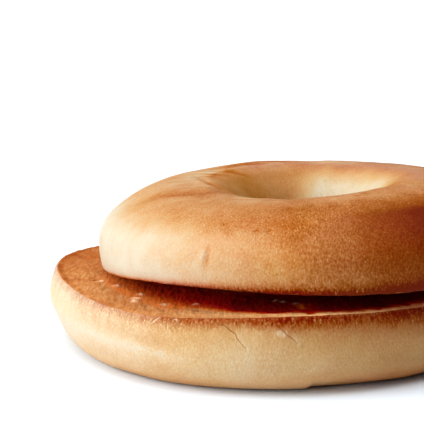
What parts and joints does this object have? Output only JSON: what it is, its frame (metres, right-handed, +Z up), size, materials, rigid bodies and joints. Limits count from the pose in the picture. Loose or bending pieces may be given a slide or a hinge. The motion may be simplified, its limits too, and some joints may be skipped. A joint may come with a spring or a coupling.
{
  "type": "bagel",
  "caption": "Plain bagel, cut through and toasted, its top half lying a little askew on its bottom half.",
  "frame": {"origin": "middle of the whole bagel's box, at the flat underside that it rests on", "axes": "+Z up through the hole, +X the way that the top half has slipped, -Y the front"},
  "size_m": [0.12, 0.111, 0.0426],
  "materials": {
    "bottom_half": "pale baked crust, with a toasted brown crumb on the cut face",
    "top_half": "golden brown baked crust with a low sheen, with a toasted brown crumb on the cut face"
  },
  "bodies": {
    "root": {"bottom_half": "bottom_half", "top_half": "top_half"}
  },
  "joints": []
}
